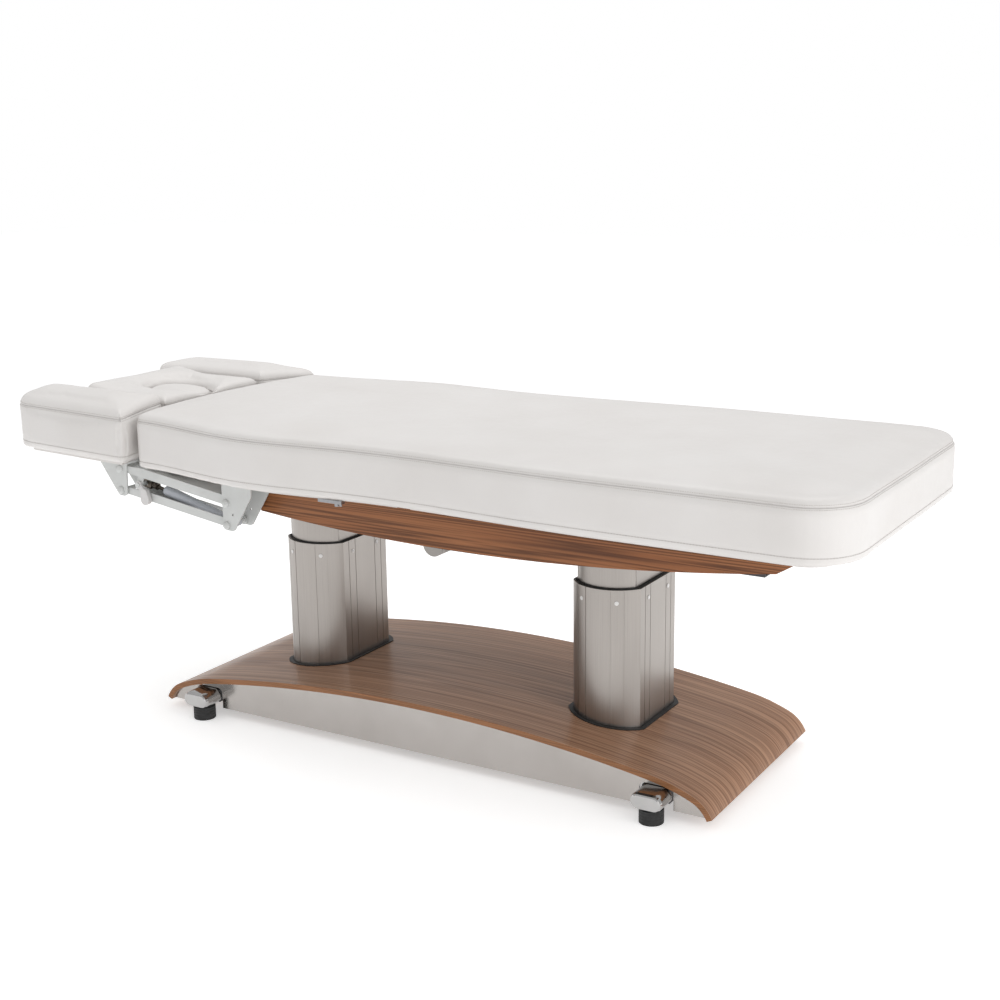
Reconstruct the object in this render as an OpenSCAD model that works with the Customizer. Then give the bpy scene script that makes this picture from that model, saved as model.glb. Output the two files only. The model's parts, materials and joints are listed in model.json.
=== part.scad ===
// Facial treatment bed: two electric columns on a bent plywood base carry a padded top.
// The back section, head rest and both arm rests move, and a face plug lifts out.
// X runs along the bed towards the foot end, the head is at -X, and Z = 0 is the floor.

/* [Base] */
// Distance from the middle of the whole bed to the middle of its base
base_offset = 47; // [40:1:55]
// Width of the wooden base cover
cover_w = 512; // [504:2:524]
// Thickness of the bent plywood
ply_t = 12; // [9:1:13]
// Height of the top of the base arch
arch_top = 135; // [132:1:145]
// Distance between the two column centres
column_gap = 748; // [730:2:760]
// Distance between the feet along the bed
foot_gap_x = 1138; // [1120:2:1150]
// Distance between the feet across the bed
foot_gap_y = 536; // [530:2:542]
// Radius of a rubber foot
foot_r = 25; // [20:1:28]

/* [Columns] */
// Width of a column's flat to flat size, along the bed
column_w = 156; // [150:2:160]
// Length of a column's flat side, across the bed
column_side = 164; // [156:2:170]
// Radius of a column's curved ends
column_end_r = 92.2; // [90:0.1:96]
// Height of the rim of the outer column stage
column_top = 405; // [396:1:408]

/* [Upholstery] */
// Half width of the mattress at the foot end
foot_half_w = 380; // [370:1:385]
// Half width of the mattress at the waist
waist_half_w = 357; // [350:1:365]
// Half width of the mattress at the shoulders
shoulder_half_w = 377; // [370:1:382]
// Height of the underside of the mattress
pad_bottom = 585; // [585:1:588]
// Height of the top of the mattress
pad_top = 714; // [705:1:720]
// Gap between the mattress and the head and arm cushions
pad_gap = 12; // [11:1:15]
// Height of the underside of the arm and head cushions
arm_bottom = 597; // [597:1:600]
// Height of the top of the arm cushions
arm_top = 736; // [725:1:740]
// Height of the top of the head cushion
head_top = 738; // [730:1:745]

/* [Arm linkage] */
// Distance between the pivots of one link
link_l = 311.3; // [305:0.1:315]
// Slope of the links at rest, in degrees
link_tilt = 8.3; // [7:0.1:9]
// Vertical distance between the upper and the lower link
link_gap = 50; // [48:1:52]
// Distance from the bed's centre line to the middle of a linkage
link_y = 260; // [260:0.5:261]

/* [Back section] */
// Place of the back hinge, measured from the middle of the base
back_hinge_x = 20; // [18:1:22]
// Half length of the mattress zone that bends over the back hinge
fold_half = 92; // [90:1:100]

/* [Hidden] */
$fn = 64;

column_x = column_gap / 2;
foot_x = foot_gap_x / 2;
foot_y = foot_gap_y / 2;
clear = 0.05;            // radial running clearance of a pin in its bore

// Base arch: three tangent arcs, each [radius, end angle] from the crown outwards
arch_r = 3498;
shoulder_r = 400;
nose_r = 78;
arch_a = asin(558 / arch_r);
shoulder_a = 23;
nose_a = 66;
panel_y = 247;           // outer face of a side panel
panel_t = 3;
panel_bottom = 21;
tube_z = [35, 64];       // bottom and top of the base tubes
plate_top = 72;          // top of the column base plates
column_wall = 5;
column_bulge = 43;       // how far the curved ends stand out from the flat sides
end_centre_y = column_side / 2 + column_bulge - column_end_r;
stage_step = 10;         // how far the inner stage is inset from the outer stage
inner_bottom = 142;
inner_top = 497;

// Upper frame levels, from the column tops up to the underside of the boards
frame_z = [505, 545];
back_z = [548, 573];
board_z = [573, pad_bottom];
rest_board_z = 588;      // underside of the arm boards and the head board
skirt_top = 570;
rail_y = 188.5;          // middle of a long rail
rail_t = 30;
foot_bar_x = 740;        // last crossbar of the upper frame
back_bar_x = [-605, -430, -120];
back_rail_y = 165;
hinge_z = 560;
hinge_r = 6;
skirt_y = 222;           // outer face of a skirt
skirt_t = 18;
skirt_r = 5000;
skirt_low = [100, 472];  // lowest point of the skirts' arched edge
skirt_head_x = -440;
skirt_foot_x = 875;

// Plan outline of the mattress
foot_end_x = 979;
foot_corner_r = 110;
head_end_x = -724;
head_edge_r = 1182;
head_corner_x = -679;
head_corner_w = 323;
shoulder_x = -315;
waist_x = -20;
hip_x = 480;
board_inset = 50;         // from the mattress's edge to the edge of its boards
board_head_x = -640;     // head end of the back board, clear of the upper arm links

// Arm linkage: pivots at the fixed bracket (a, b) and at the arm bracket (c, d)
pivot_a = [-449, 525];
pivot_b = [pivot_a.x, pivot_a.y - link_gap];
pivot_c = [pivot_a.x - link_l * cos(link_tilt), pivot_a.y + link_l * sin(link_tilt)];
pivot_d = [pivot_c.x, pivot_c.y - link_gap];
ear_gap = 56;
ear_t = 3.5;
upper_link_w = 55;
lower_link_w = 50;
link_wall = 3;
bolt_r = 5;
cap_r = 9;
lug_pin = [-703, 538];   // pin of the gas spring on the upper link
lug_pin_r = 4;
gas_l = norm([lug_pin.x - pivot_b.x, lug_pin.y - pivot_b.y]);
gas_tilt = atan((lug_pin.y - pivot_b.y) / (pivot_b.x - lug_pin.x));

// Back actuator: swings about its bracket pin, and its rod pushes a slotted lug
actuator_pin = [-20, 462];
actuator_pin_r = 6;
lug = [-290, 535];
actuator_l = norm([lug.x - actuator_pin.x, lug.y - actuator_pin.y]);
actuator_tilt = atan((lug.y - actuator_pin.y) / (actuator_pin.x - lug.x));
motor_r = 26;
motor_c = [-67, 424];

// Head rest
head_hinge = [-792, 575];
head_half_w = 166;
head_end = -992;
hole_margin = 12;        // how far the hole in the head board stays inside the plug
plug_x = -836;
plug_l = 176;
plug_w = 132;
arm_inner_y = 172;
arm_outer_y = 352;
arm_end_x = -1073;
arm_foot_x = -650;
arm_corner_r = 60;       // outer head corner of an arm cushion
arm_taper = 33;          // how much an arm cushion narrows towards its head end
rest_board_inset = 25;   // from an arm cushion's edge to the edge of its board

// ---------- shared functions and shapes ----------

function arc(c, r, a0, a1, n) =
    [for (i = [0:n]) let (a = a0 + (a1 - a0) * i / n) [c.x + r * sin(a), c.y + r * cos(a)]];
function tail(l) = [for (i = [1:len(l) - 1]) l[i]];
function flip(l) = [for (i = [len(l) - 1:-1:0]) l[i]];
function both_sides(l) = concat([for (p = flip(tail(l))) [-p.x, p.y]], l);
// Centre of the next tangent arc, of radius r, that carries on from a point at angle a
function next_c(p, r, a) = [p.x - r * sin(a), p.y - r * cos(a)];

arch_c = [0, arch_top - arch_r];
shoulder_c = next_c([arch_r * sin(arch_a), arch_c.y + arch_r * cos(arch_a)], shoulder_r, arch_a);
nose_c = next_c([shoulder_c.x + shoulder_r * sin(shoulder_a),
    shoulder_c.y + shoulder_r * cos(shoulder_a)], nose_r, shoulder_a);

// Half of the arch profile, at a depth below the outer face
function half_arch(depth) = concat(
    arc(arch_c, arch_r - depth, 0, arch_a, 20),
    tail(arc(shoulder_c, shoulder_r - depth, arch_a, shoulder_a, 8)),
    tail(arc(nose_c, nose_r - depth, shoulder_a, nose_a, 10)));
function arch_z(x) = arch_c.y + sqrt(arch_r * arch_r - x * x);

function ease(t) = t * t * (3 - 2 * t);
function between(x, x0, w0, x1, w1) = w0 + (w1 - w0) * ease((x - x0) / (x1 - x0));
function half_w(x) =
    x < shoulder_x ? between(x, head_corner_x, head_corner_w, shoulder_x, shoulder_half_w)
    : x < waist_x ? between(x, shoulder_x, shoulder_half_w, waist_x, waist_half_w)
    : x < hip_x ? between(x, waist_x, waist_half_w, hip_x, foot_half_w)
    : foot_half_w;
foot_corner = [foot_end_x - foot_corner_r, foot_half_w - foot_corner_r];
mattress_side = concat(
    [for (i = [0:30]) let (x = head_corner_x + (foot_corner.x - head_corner_x) * i / 30) [x, half_w(x)]],
    tail(arc(foot_corner, foot_corner_r, 0, 90, 12)));

// The bed is drawn from the middle of its base, then moved to the middle of its length
module placed() translate([base_offset, 0, 0]) children();
module near() mirror([0, 1, 0]) children();
module ends() for (s = [-1, 1]) translate([s * column_x, 0, 0]) children();
module sides() for (s = [0, 1]) mirror([0, s, 0]) children();

// Box from its low corner to its high corner
module block(a, b) translate(a) cube(b - a);
// Round bar across the bed, at [x, z], from y0 to y1
module bar_y(r, p, y0, y1) translate([p.x, y0, p.y]) rotate([-90, 0, 0]) cylinder(r = r, h = y1 - y0);
// Plate across the bed, drawn as an x-z outline, from y0 to y1
module plate_y(y0, y1) translate([0, y1, 0]) rotate([90, 0, 0]) linear_extrude(y1 - y0) children();
// Square tube along the bed
module tube_x(a, b, wall) difference() {
    block(a, b);
    block([a.x - 1, a.y + wall, a.z + wall], [b.x + 1, b.y - wall, b.z - wall]);
}
// Places a part drawn from a pivot, sloping up towards the head end
module sloped(p, tilt) translate([p.x, 0, p.y]) rotate([0, tilt, 0]) children();
module disc(r, p) translate(p) circle(r);

module column_profile(grow) {
    square([column_w + 2 * grow, column_side], center = true);
    for (s = [-1, 1]) intersection() {
        translate([0, s * end_centre_y]) circle(column_end_r + grow);
        translate([0, s * column_side / 2]) square([column_w + 2 * grow, column_side], center = true);
    }
}
// Copies its children to both curved ends of a column, facing out at an angle
module on_curved_ends(angles) for (s = [0, 180], a = angles)
    rotate(s) translate([0, end_centre_y]) rotate(a) translate([0, column_end_r]) children();
// Copies its children to both flat sides of a column
module on_flat_sides(places) for (s = [-90, 90], y = places)
    rotate(s) translate([y, column_w / 2]) children();

module column_groove() square([1.6, 2], center = true);
module column_outer_stage() difference() {
    translate([0, 0, plate_top]) linear_extrude(column_top - plate_top) difference() {
        column_profile(0);
        column_profile(-column_wall);
        on_curved_ends([-35, -18, 18, 35]) column_groove();
        on_flat_sides([-61, -37, 37, 61]) column_groove();
    }
    column_button_places() cylinder(r = button_r + clear, h = 20, center = true);
}
button_r = 4.5;
module column_button_places() translate([0, 0, column_top - 27]) {
    on_curved_ends([-25.7, 25.7]) rotate([-90, 0, 0]) children();
    on_flat_sides([-46, 46]) rotate([-90, 0, 0]) children();
}
module ring(grow_out, grow_in, z0, z1) translate([0, 0, z0]) linear_extrude(z1 - z0) difference() {
    column_profile(grow_out);
    column_profile(grow_in);
}
// Solid between two depths under the arch, over a width
module arch_band(top_depth, bottom_depth, width) rotate([90, 0, 0])
    linear_extrude(width, center = true)
        polygon(concat(both_sides(half_arch(top_depth)), flip(both_sides(half_arch(bottom_depth)))));

// ---------- base ----------

module rubber_feet() color([0.07, 0.07, 0.07]) placed()
    for (sx = [-1, 1], sy = [-1, 1]) translate([sx * foot_x, sy * foot_y, 0]) {
        cylinder(r = foot_r, h = 29);
        cylinder(r = foot_r - 3, h = 32.3);
    }

pod_w = 68;
pod_h = 34;
pod_back = panel_y + 1;
pod_front = 298;
module pod_outline(inset) hull() for (s = [-1, 1])
    translate([s * (pod_w - pod_h) / 2, 0]) circle(pod_h / 2 - inset, $fn = 40);
module pod_caps() color([0.8, 0.8, 0.82]) placed() for (sx = [-1, 1]) sides()
    translate([sx * foot_x, 0, (tube_z[0] + tube_z[1]) / 2]) difference() {
        rotate([-90, 0, 0]) hull() {
            translate([0, 0, pod_back]) linear_extrude(pod_front - pod_back - 7) pod_outline(0);
            translate([0, 0, pod_front - 3]) linear_extrude(2) pod_outline(2);
            translate([0, 0, pod_front - 1]) linear_extrude(1) pod_outline(5);
        }
        block([-30.3, pod_back - 1, -14.8], [30.3, foot_y - foot_r + 6.3, 14.8]);
    }

module cross_tubes() color([0.25, 0.25, 0.26]) placed() for (sx = [-1, 1])
    translate([sx * foot_x, 0, 0]) difference() {
        block([-30, -foot_y + foot_r - 6, tube_z[0]], [30, foot_y - foot_r + 6, tube_z[1]]);
        block([-27, -foot_y, tube_z[0] + 3], [27, foot_y, tube_z[1] - 3]);
    }

module base_rails() color([0.2, 0.2, 0.21]) placed() sides()
    tube_x([-foot_x + 30.2, 100, tube_z[0]], [foot_x - 30.2, 140, tube_z[1]], 3);

module column_base_plates() color([0.2, 0.2, 0.21]) placed() ends()
    block([-100, -145, tube_z[1]], [100, 145, plate_top]);

module cover_ribs() color([0.75, 0.6, 0.42]) placed() for (x = [-500, -250, -140, 100, 250, 500])
    block([x - 8, -panel_y + panel_t + 2, tube_z[1] + 0.2],
        [x + 8, panel_y - panel_t - 2, arch_z(abs(x) + 8) - ply_t - 0.3]);

// A side panel, on the +Y side
module base_panel() plate_y(panel_y - panel_t, panel_y) difference() {
    polygon(concat(both_sides(half_arch(ply_t + 0.2)), [[600, 0], [-600, 0]]));
    translate([-800, -20]) square([1600, panel_bottom + 20]);
    for (s = [-1, 1]) translate([s * foot_x, 0]) hull() {
        translate([-pod_w / 2 - 3, 0]) square([pod_w + 6, 40]);
        for (t = [-1, 1]) disc(13, [t * (pod_w / 2 - 10), 55]);
    }
}
inlet_x = 130;
inlet_z = 75;
module base_panel_near() color([0.62, 0.6, 0.58]) placed() near() base_panel();
module base_panel_far() color([0.62, 0.6, 0.58]) placed() difference() {
    base_panel();
    block([inlet_x - 16, 200, inlet_z - 12], [inlet_x + 16, 300, inlet_z + 12]);
}

module base_cover() color([0.72, 0.55, 0.45]) placed() difference() {
    arch_band(0, ply_t, cover_w);
    ends() linear_extrude(200) column_profile(11);
}

module cutout_trims() color([0.08, 0.08, 0.08]) placed() intersection() {
    arch_band(-2, ply_t + 2, cover_w);
    ends() ring(10.8, 1, 60, 200);
}

// ---------- lifting columns ----------

module column_outer_head() color([0.6, 0.57, 0.55]) placed()
    translate([-column_x, 0, 0]) column_outer_stage();
module column_outer_foot() color([0.6, 0.57, 0.55]) placed()
    translate([column_x, 0, 0]) column_outer_stage();

module column_wipers() color([0.08, 0.08, 0.08]) placed() ends() {
    ring(-column_wall - 0.2, -stage_step + 0.4, column_top - 12, column_top + 2);
}

module column_buttons() color([0.85, 0.84, 0.82]) placed() ends() column_button_places()
    translate([0, 0, -column_wall]) cylinder(r = button_r, h = column_wall + 1);

motor_top = 126;
lift_tube_top = 423;
lift_tube_r = 22;
lift_rod_r = 14;
module lift_motors() color([0.3, 0.3, 0.31]) placed() ends() difference() {
    union() {
        translate([0, 0, plate_top]) cylinder(r = 40, h = motor_top - plate_top);
        translate([0, 0, motor_top]) cylinder(r = lift_tube_r, h = lift_tube_top - motor_top);
        block([-25, 30, plate_top], [25, 75, plate_top + 45]);
    }
    translate([0, 0, motor_top]) cylinder(r = lift_rod_r + clear, h = 400);
}

module control_box() color([0.16, 0.16, 0.17]) placed()
    block([-120, -96, tube_z[1] - 20], [60, 96, tube_z[1] + 34]);

module power_inlet() color([0.1, 0.1, 0.1]) placed() difference() {
    union() {
        block([inlet_x - 25, panel_y + 0.1, inlet_z - 15], [inlet_x + 25, panel_y + 3, inlet_z + 15]);
        block([inlet_x - 15.5, panel_y - 24, inlet_z - 11.5], [inlet_x + 15.5, panel_y + 1, inlet_z + 11.5]);
    }
    difference() {
        block([inlet_x - 12.5, panel_y - 17, inlet_z - 8.5], [inlet_x + 12.5, panel_y + 10, inlet_z + 8.5]);
        for (p = [[-7, -2], [0, 3], [7, -2]])
            block([inlet_x + p.x - 1, panel_y - 20, inlet_z + p.y - 2.5],
                [inlet_x + p.x + 1, panel_y - 6, inlet_z + p.y + 2.5]);
    }
}

module column_inner() {
    ring(-stage_step, -stage_step - 4, inner_bottom, inner_top);
    difference() {
        translate([0, 0, inner_top]) linear_extrude(frame_z[0] - inner_top)
            square([column_w + 20, 2 * column_side - 70], center = true);
        translate([0, 0, inner_top - 1]) cylinder(r = lift_rod_r + 0.3, h = 20);
    }
}
module column_inner_head() color([0.6, 0.57, 0.55]) placed() translate([-column_x, 0, 0]) column_inner();
module column_inner_foot() color([0.6, 0.57, 0.55]) placed() translate([column_x, 0, 0]) column_inner();

module lift_rods() color([0.8, 0.8, 0.8]) placed() ends()
    translate([0, 0, 198]) cylinder(r = lift_rod_r, h = frame_z[0] - 198);

// ---------- upper frame ----------

module top_rails() color([0.22, 0.22, 0.23]) placed() sides()
    tube_x([skirt_head_x + 10, rail_y - rail_t / 2, frame_z[0]], [foot_bar_x + 25, rail_y + rail_t / 2, frame_z[1]], 2.5);

module top_crossbars() color([0.22, 0.22, 0.23]) placed() {
    half = rail_y - rail_t / 2 - 0.2;
    for (b = [[-column_x, 50], [25, 20], [column_x, 50], [foot_bar_x, 15]])
        block([b.x - b[1], -half, frame_z[0]], [b.x + b[1], half, frame_z[1]]);
    // Packers on the rails that carry the leg board
    for (x = [160, column_x, 580, foot_bar_x])
        block([x - 15, -half - rail_t, frame_z[1]], [x + 15, half + rail_t, board_z[0]]);
}

hinge_lug_t = 14;
module back_hinge_brackets() color([0.55, 0.55, 0.56]) placed() sides() {
    for (y = [back_rail_y - hinge_lug_t / 2 - 7.5, back_rail_y + hinge_lug_t / 2 + 0.5])
        plate_y(y, y + 7) union() {
            disc(12, [back_hinge_x, hinge_z]);
            translate([back_hinge_x - 12, frame_z[1]]) square([24, hinge_z - frame_z[1]]);
        }
    bar_y(hinge_r, [back_hinge_x, hinge_z], back_rail_y - 15, back_rail_y + 15);
}

// Two ears under a crossbar, with the pin that the actuator swings on
module actuator_bracket() color([0.55, 0.55, 0.56]) placed() {
    sides() plate_y(15, 21) hull() {
        disc(12, actuator_pin);
        translate([8, frame_z[0] - 1]) square([34, 1]);
    }
    bar_y(actuator_pin_r, actuator_pin, -24, 24);
}

skirt_c = [skirt_low.x, skirt_low.y + skirt_r];
module skirt_outline() intersection() {
    difference() {
        translate([-600, 400]) square([1600, skirt_top - 400]);
        // everything under the arched lower edge
        difference() {
            translate([-700, 300]) square([1800, 300]);
            translate(skirt_c) circle(skirt_r, $fn = 720);
        }
    }
    polygon([[skirt_head_x - 70, 600], [skirt_head_x - 50, 572], [skirt_head_x + 30, 500],
        [skirt_head_x + 60, 430], [skirt_foot_x - 120, 430], [skirt_foot_x - 95, 512],
        [skirt_foot_x, skirt_top], [skirt_foot_x + 20, 600]]);
}
module skirt() plate_y(skirt_y - skirt_t, skirt_y) skirt_outline();
module skirt_near() color([0.5, 0.33, 0.22]) placed() near() skirt();
module skirt_far() color([0.5, 0.33, 0.22]) placed() skirt();
module skirt_end_board() color([0.5, 0.33, 0.22]) placed()
    block([812, -skirt_y + skirt_t + 0.2, 546], [830, skirt_y - skirt_t - 0.2, skirt_top]);

// Plan outline of the mattress between two stations, drawn in by an inset
module mattress_outline(x0, x1, inset = 0) intersection() {
    union() {
        offset(delta = -inset)
            polygon(concat(mattress_side, flip([for (p = mattress_side) [p.x, -p.y]])));
        // the bowed head edge, joined to the straight-cut sides
        intersection() {
            translate([head_end_x + head_edge_r, 0]) circle(head_edge_r - inset, $fn = 180);
            translate([head_corner_x - 100, -head_corner_w + inset])
                square([100 + 2 * inset + 10, 2 * (head_corner_w - inset)]);
        }
    }
    translate([x0, -500]) square([x1 - x0, 1000]);
}

// Level slab from z0 to z1 of a plan outline
module slab(z0, z1) translate([0, 0, z0]) linear_extrude(z1 - z0) children();

module leg_board() color([0.75, 0.6, 0.42]) placed()
    slab(board_z[0], board_z[1]) mattress_outline(back_hinge_x + 28, 2000, board_inset);

module mattress_leg() color([0.93, 0.92, 0.9]) placed()
    slab(pad_bottom, pad_top) mattress_outline(back_hinge_x + fold_half, 2000);
module mattress_fold() color([0.93, 0.92, 0.9]) placed()
    slab(pad_bottom, pad_top)
        mattress_outline(back_hinge_x - fold_half + 0.3, back_hinge_x + fold_half - 0.3);

// ---------- back actuator ----------

module back_actuator_body() color([0.72, 0.69, 0.66]) placed() {
    sloped(actuator_pin, actuator_tilt) {
        difference() {
            union() {
                bar_y(14, [0, 0], -14.5, 14.5);
                block([-70, -13.5, -32], [0, 13.5, 12]);
                translate([-64, 0, 0]) rotate([0, -90, 0]) cylinder(r = 17, h = 141);
            }
            bar_y(actuator_pin_r + clear, [0, 0], -20, 20);
            translate([-71, 0, 0]) rotate([0, -90, 0]) cylinder(r = 9.9 + clear, h = 150);
        }
    }
    bar_y(motor_r, motor_c, -60, 12.5);
}
module back_actuator_rod() color([0.8, 0.8, 0.8]) placed()
    sloped(actuator_pin, actuator_tilt) {
        translate([-75, 0, 0]) rotate([0, -90, 0]) cylinder(r = 9.9, h = actuator_l - 75 - 30);
        block([-actuator_l - 10, -12, -10], [-actuator_l + 23, -6.2, 10]);
        block([-actuator_l - 10, 6.2, -10], [-actuator_l + 23, 12, 10]);
        block([-actuator_l + 22, -12, -10], [-actuator_l + 34, 12, 10]);
        bar_y(5, [-actuator_l, 0], -12, 12);
    }

// ---------- back section ----------

module back_rails() color([0.22, 0.22, 0.23]) placed() sides() {
    tube_x([-620, back_rail_y - 15, back_z[0]], [0, back_rail_y + 15, back_z[1]], 2.5);
    difference() {
        union() {
            bar_y(11.5, [back_hinge_x, hinge_z], back_rail_y - hinge_lug_t / 2, back_rail_y + hinge_lug_t / 2);
            block([-20, back_rail_y - hinge_lug_t / 2, back_z[0]],
                [back_hinge_x, back_rail_y + hinge_lug_t / 2, back_z[1] - 0.5]);
        }
        bar_y(hinge_r + clear, [back_hinge_x, hinge_z], 100, 300);
    }
}

module back_crossbars() color([0.22, 0.22, 0.23]) placed() {
    half = back_rail_y - 15.2;
    for (x = back_bar_x)
        block([x - 15, -half, back_z[0]], [x + 15, half, back_z[1]]);
    difference() {
        union() {
            block([lug.x - 15, -half, back_z[0]], [lug.x + 15, half, back_z[1]]);
            plate_y(-5, 5) hull() {
                disc(13, [lug.x + 2, lug.y - 13]);
                translate([lug.x - 14, back_z[0]]) square([28, 1]);
            }
        }
        for (t = [0:3]) bar_y(6.5, [lug.x + t * 0.8, lug.y + 1 - t * 4.8], -6, 6);
    }
}

module back_board() color([0.75, 0.6, 0.42]) placed()
    slab(board_z[0], board_z[1]) mattress_outline(board_head_x, back_hinge_x - 5, board_inset);

module mattress_back() color([0.93, 0.92, 0.9]) placed()
    slab(pad_bottom, pad_top) mattress_outline(-2000, back_hinge_x - fold_half);

module edge_clips() color([0.35, 0.35, 0.36]) placed() sides() {
    block([-176, 306, 566], [-116, 318, board_z[0]]);
    translate([-132, 312, 560]) cylinder(r = 5, h = 6, $fn = 6);
    translate([-122, 312, 561]) cylinder(r = 3, h = 5);
}

// ---------- arm rests, drawn on the +Y side ----------

ear_in = link_y - ear_gap / 2;
ear_out = link_y + ear_gap / 2;

module fixed_ear() hull() {
    translate([-459, 572]) square([81, 1]);
    translate([-380, 545]) square([2, 20]);
    disc(10, pivot_b);
    disc(12, [pivot_b.x + 13, pivot_b.y + 1]);
}
module arm_bracket_fixed() difference() {
    union() {
        plate_y(ear_in - ear_t, ear_in) fixed_ear();
        plate_y(ear_out, ear_out + ear_t) fixed_ear();
        block([-459, ear_in - 0.1, 569.5], [-378, ear_out + 0.1, 573]);
    }
    for (p = [pivot_a, pivot_b]) bar_y(bolt_r + clear, p, 200, 320);
    bar_y(2.5, [-431, 501], 200, 320);
}
module arm_bracket_fixed_near() color([0.82, 0.82, 0.8]) placed() near() arm_bracket_fixed();
module arm_bracket_fixed_far() color([0.82, 0.82, 0.8]) placed() arm_bracket_fixed();

// Bolt across a bracket, with a domed cap outside and a nut inside
module link_bolt(p) {
    bar_y(bolt_r, p, ear_in - ear_t - 4, ear_out + ear_t + 1);
    bar_y(8, p, ear_in - ear_t - 3.8, ear_in - ear_t - 0.1);
    translate([p.x, ear_out + ear_t + 0.1, p.y]) rotate([-90, 0, 0]) intersection() {
        cylinder(r = cap_r, h = 7);
        translate([0, 0, -5]) sphere(r = 12);
    }
}
module fixed_bolts() color([0.8, 0.8, 0.78]) placed() sides() for (p = [pivot_a, pivot_b]) link_bolt(p);

// U-shaped link with its web on top (side = 1) or at the bottom (side = -1)
module link(width, side, web_from, web_to, lug, top = 13) difference() {
    union() {
        for (y = [link_y - width / 2, link_y + width / 2 - link_wall]) plate_y(y, y + link_wall) union() {
            polygon([[0, -6], [0, top], [60 - link_l, top], [6 - link_l, 8], [-link_l, 8], [-link_l, -6]]);
            for (x = [0, -link_l]) disc(9.5, [x, 0]);
            if (lug) hull() {
                disc(7.5, upper_lug);
                translate([upper_lug.x - 7.5, 0]) square([18, 1]);
            }
        }
        block([-web_to, link_y - width / 2, side > 0 ? top - link_wall : -6],
            [-web_from, link_y + width / 2, side > 0 ? top : -6 + link_wall]);
    }
    for (x = [0, -link_l]) bar_y(bolt_r + clear, [x, 0], 200, 320);
    if (lug) bar_y(lug_pin_r + 0.02, upper_lug, 200, 320);
}
// Place of the gas spring's pin in the upper link's own frame
upper_lug = [
    (lug_pin.x - pivot_a.x) * cos(link_tilt) - (lug_pin.y - pivot_a.y) * sin(link_tilt),
    (lug_pin.x - pivot_a.x) * sin(link_tilt) + (lug_pin.y - pivot_a.y) * cos(link_tilt)];
module arm_link_upper() {
    sloped(pivot_a, link_tilt) link(upper_link_w, 1, 12, 240, true, top = 15);
    bar_y(lug_pin_r, lug_pin, link_y - 27, link_y + 34);
    bar_y(6, lug_pin, link_y + 33.6, link_y + 36);
}
module arm_link_lower() sloped(pivot_b, link_tilt) link(lower_link_w, -1, 120, 290, false);
module arm_link_upper_near() color([0.78, 0.78, 0.76]) placed() near() arm_link_upper();
module arm_link_upper_far() color([0.78, 0.78, 0.76]) placed() arm_link_upper();
module arm_link_lower_near() color([0.78, 0.78, 0.76]) placed() near() arm_link_lower();
module arm_link_lower_far() color([0.78, 0.78, 0.76]) placed() arm_link_lower();

module moving_ear() hull() {
    translate([-820, 587]) square([84, 0.8]);
    disc(12, pivot_d);
    disc(10, [pivot_d.x + 8, pivot_d.y - 2]);
}
// Bracket under the arm rest, with the two bolts that the links turn on
module arm_bracket_moving() {
    difference() {
        union() {
            plate_y(ear_in - ear_t, ear_in) moving_ear();
            plate_y(ear_out, ear_out + ear_t) moving_ear();
            block([-900, ear_in - ear_t, 584], [-772, ear_out + ear_t, 587.8]);
        }
        for (p = [pivot_c, pivot_d]) bar_y(bolt_r - 0.01, p, 200, 320);
    }
    for (p = [pivot_c, pivot_d]) link_bolt(p);
}
module arm_bracket_moving_near() color([0.82, 0.82, 0.8]) placed() near() arm_bracket_moving();
module arm_bracket_moving_far() color([0.82, 0.82, 0.8]) placed() arm_bracket_moving();

// Plan outline of an arm cushion, drawn in by an inset
module arm_outline(inset) difference() {
    offset(delta = -inset) hull() {
        disc(arm_corner_r, [arm_end_x + arm_corner_r, arm_outer_y - arm_taper - arm_corner_r]);
        disc(12, [arm_end_x + 12, arm_inner_y + 12]);
        disc(12, [arm_foot_x, arm_inner_y + 12]);
        disc(14, [arm_foot_x - 10, arm_outer_y - 14]);
    }
    translate([head_end_x + head_edge_r, 0]) circle(head_edge_r + pad_gap + inset, $fn = 180);
}
module arm_board_near() color([0.75, 0.6, 0.42]) placed() near() slab(rest_board_z, arm_bottom) arm_outline(rest_board_inset);
module arm_board_far() color([0.75, 0.6, 0.42]) placed() slab(rest_board_z, arm_bottom) arm_outline(rest_board_inset);
module arm_cushion_near() color([0.93, 0.92, 0.9]) placed() near() slab(arm_bottom, arm_top) arm_outline(0);
module arm_cushion_far() color([0.93, 0.92, 0.9]) placed() slab(arm_bottom, arm_top) arm_outline(0);

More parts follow.
